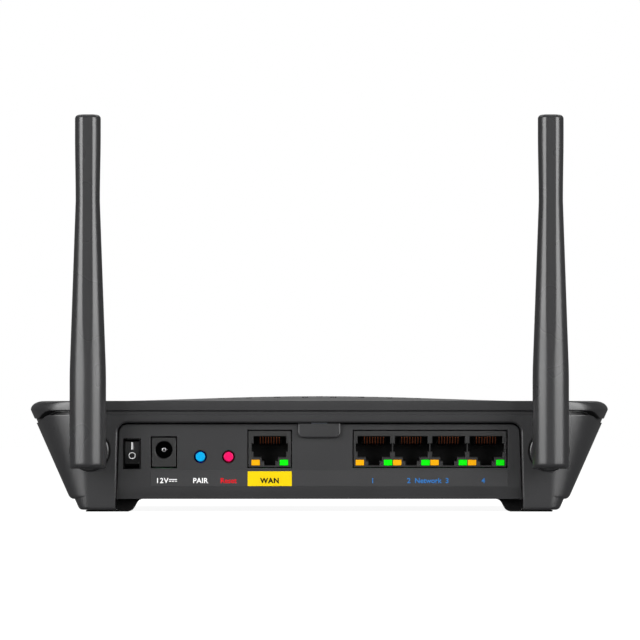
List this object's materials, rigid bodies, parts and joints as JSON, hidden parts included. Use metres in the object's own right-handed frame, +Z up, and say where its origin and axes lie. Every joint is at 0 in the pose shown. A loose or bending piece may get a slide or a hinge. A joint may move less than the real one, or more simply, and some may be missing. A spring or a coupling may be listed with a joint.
{
  "type": "wireless router",
  "caption": "Black desktop wireless router with two swivelling, tilting rod antennas, a recessed connector panel, a power rocker and push buttons.",
  "frame": {"origin": "on the table, under the middle of the whole object's bounding box", "axes": "+X along the long side, towards the power switch's end; +Y out of the connector panel; +Z up"},
  "size_m": [0.2178, 0.1784, 0.1472],
  "materials": {
    "black_plastic": "fine-textured black moulded plastic",
    "antenna_plastic": "satin black moulded plastic",
    "jack_plastic": "plain black plastic",
    "gloss_black": "glossy black plastic",
    "rubber": "matte black rubber",
    "gold": "gold-plated",
    "steel": "plain steel",
    "aluminium": "extruded, plain",
    "board_green": "green solder mask on glass laminate",
    "amber_lens": "translucent amber window",
    "green_lens": "translucent green window",
    "blue_button": "blue moulded button",
    "red_button": "red moulded button",
    "label_grey": "dark printed film",
    "label_yellow": "bright yellow printed film",
    "label_pale": "pale blank paper label",
    "clear_lens": "clear moulded light pipe",
    "cable_grey": "dark cable jacket"
  },
  "bodies": {
    "case": {"top_cover": "black_plastic", "bottom_housing": "black_plastic", "rear_panel": "black_plastic", "wan_jack": "jack_plastic", "lan_jack": "jack_plastic", "power_socket": "jack_plastic", "pair_tact_switch": "jack_plastic", "reset_tact_switch": "jack_plastic", "main_processor": "jack_plastic", "memory_chip": "jack_plastic", "lan_transformer": "jack_plastic", "wan_transformer": "jack_plastic", "switch_body": "gloss_black", "foot_rear_left": "rubber", "foot_rear_right": "rubber", "foot_front_left": "rubber", "foot_front_right": "rubber", "wan_contacts": "gold", "lan_contacts_1": "gold", "lan_contacts_2": "gold", "lan_contacts_3": "gold", "lan_contacts_4": "gold", "case_screw_rear_left": "steel", "case_screw_rear_right": "steel", "case_screw_front_left": "steel", "case_screw_front_right": "steel", "power_pin": "steel", "radio_shield_left": "steel", "radio_shield_right": "steel", "heat_sink": "aluminium", "main_board": "board_green", "wan_lamp_amber": "amber_lens", "lan_lamp_1_amber": "amber_lens", "lan_lamp_2_amber": "amber_lens", "lan_lamp_3_amber": "amber_lens", "lan_lamp_4_amber": "amber_lens", "wan_lamp_green": "green_lens", "lan_lamp_1_green": "green_lens", "lan_lamp_2_green": "green_lens", "lan_lamp_3_green": "green_lens", "lan_lamp_4_green": "green_lens", "port_label": "label_grey", "wan_label": "label_yellow", "rating_label": "label_pale", "status_light_pipe": "clear_lens", "antenna_coax_left": "cable_grey", "antenna_coax_right": "cable_grey"},
    "antenna_left": {"antenna_blade_left": "antenna_plastic", "antenna_element_left": "gold"},
    "antenna_right": {"antenna_blade_right": "antenna_plastic", "antenna_element_right": "gold"},
    "swivel_left": {"antenna_knuckle_left": "antenna_plastic", "hinge_pin_left": "steel", "swivel_clip_left": "steel"},
    "swivel_right": {"antenna_knuckle_right": "antenna_plastic", "hinge_pin_right": "steel", "swivel_clip_right": "steel"},
    "power_rocker": {"switch_rocker": "gloss_black"},
    "pair_button": {"pair_button": "blue_button"},
    "reset_button": {"reset_button": "red_button"}
  },
  "joints": [
    {"name": "antenna_left_swivel", "type": "hinge", "parent": "case", "child": "swivel_left", "pos_m": [-0.0857, 0.0708, 0.0227], "axis": [0, -1, 0], "range_deg": [-40, 90]},
    {"name": "antenna_left_tilt", "type": "hinge", "parent": "swivel_left", "child": "antenna_left", "pos_m": [-0.0857, 0.0803, 0.0227], "axis": [-1, 0, 0], "range_deg": [0, 90]},
    {"name": "antenna_right_swivel", "type": "hinge", "parent": "case", "child": "swivel_right", "pos_m": [0.0857, 0.0708, 0.0227], "axis": [0, 1, 0], "range_deg": [-40, 90]},
    {"name": "antenna_right_tilt", "type": "hinge", "parent": "swivel_right", "child": "antenna_right", "pos_m": [0.0857, 0.0803, 0.0227], "axis": [-1, 0, 0], "range_deg": [0, 90]},
    {"name": "power_rocker_rock", "type": "hinge", "parent": "case", "child": "power_rocker", "pos_m": [0.0699, 0.0644, 0.0216], "axis": [-1, 0, 0], "range_deg": [0, 24]},
    {"name": "pair_button_press", "type": "slide", "parent": "case", "child": "pair_button", "axis": [0, -1, 0], "range_m": [0, 0.0008], "stiffness_N_per_m": 800, "springref_m": -0.0003},
    {"name": "reset_button_press", "type": "slide", "parent": "case", "child": "reset_button", "axis": [0, -1, 0], "range_m": [0, 0.0008], "stiffness_N_per_m": 800, "springref_m": -0.0003}
  ]
}
